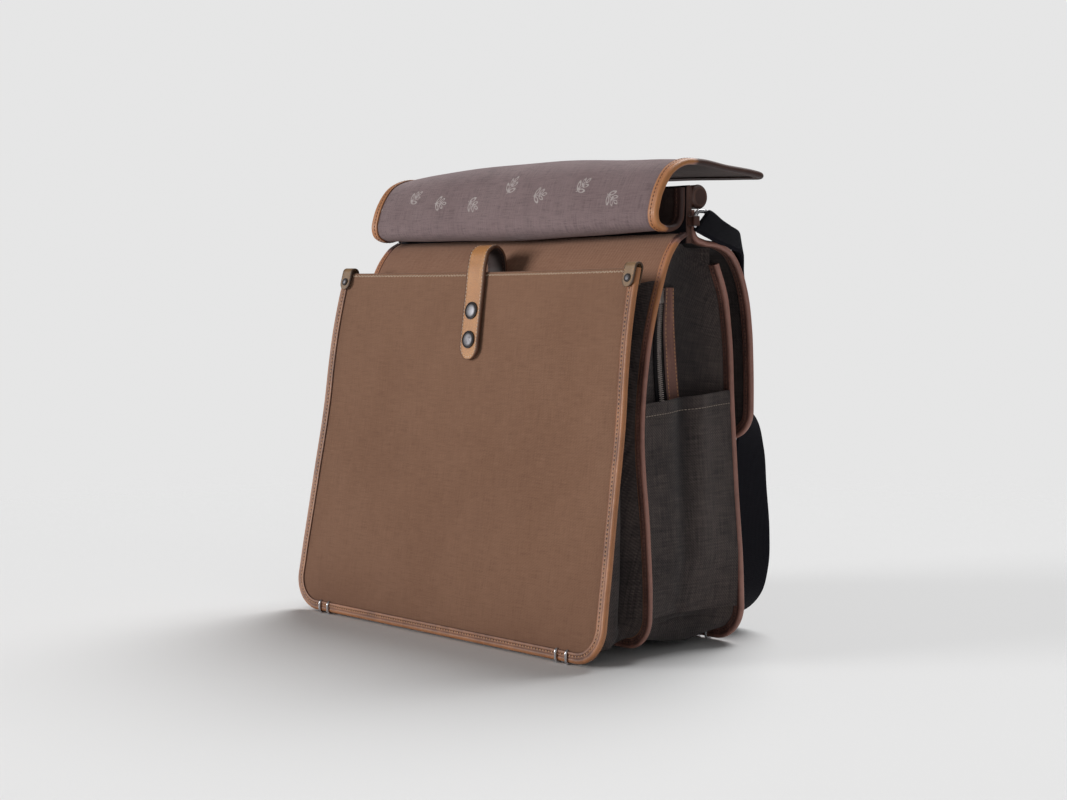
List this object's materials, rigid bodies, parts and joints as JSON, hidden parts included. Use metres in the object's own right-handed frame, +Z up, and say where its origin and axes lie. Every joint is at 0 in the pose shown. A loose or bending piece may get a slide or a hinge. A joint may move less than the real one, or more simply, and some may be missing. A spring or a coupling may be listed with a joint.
{
  "type": "briefcase",
  "caption": "Upright canvas and leather briefcase with a rear slip pocket, a front flap, a lined cover flap thrown back in a roll, side pockets and a webbing shoulder strap.",
  "frame": {"origin": "middle of the bag's bounding box, on the surface it stands on", "axes": "+X along the bag's width, +Y from the rear slip pocket to the front flap, +Z up"},
  "size_m": [0.37, 0.2156, 0.3732],
  "materials": {
    "brown_canvas": "matte waxed canvas",
    "lining": "matte woven lining with small sprigs",
    "dark_canvas": "matte canvas",
    "tan_leather": "satin",
    "dark_leather": "satin",
    "webbing": "ribbed webbing",
    "zipper_tape": "woven tape with moulded teeth",
    "steel": "aged nickel"
  },
  "bodies": {
    "root": {"back_binding": "tan_leather", "back_panel": "brown_canvas", "body_gusset": "dark_canvas", "closing_strap": "tan_leather", "corner_rivet_left": "steel", "corner_rivet_right": "steel", "corner_tab_left": "tan_leather", "corner_tab_right": "tan_leather", "cover_flap": "lining", "cover_flap_binding": "tan_leather", "front_binding": "dark_leather", "front_flap": "dark_canvas", "front_flap_binding": "dark_leather", "front_panel": "dark_canvas", "front_staple_left_1": "steel", "front_staple_left_2": "steel", "front_staple_right_1": "steel", "front_staple_right_2": "steel", "pocket_binding": "tan_leather", "pocket_gusset": "dark_canvas", "pocket_panel": "brown_canvas", "pocket_staple_left_1": "steel", "pocket_staple_left_2": "steel", "pocket_staple_right_1": "steel", "pocket_staple_right_2": "steel", "ridge_band": "dark_canvas", "ridge_end_left": "dark_leather", "ridge_end_right": "dark_leather", "ring_left": "steel", "ring_loop_left": "dark_leather", "ring_loop_right": "dark_leather", "ring_right": "steel", "shoulder_strap": "webbing", "side_pocket_left": "dark_canvas", "side_pocket_right": "dark_canvas", "snap_lower": "steel", "snap_upper": "steel", "top_rod": "dark_leather", "zip_strip_left": "dark_leather", "zip_strip_right": "dark_leather", "zipper_left": "zipper_tape", "zipper_right": "zipper_tape"}
  },
  "joints": []
}
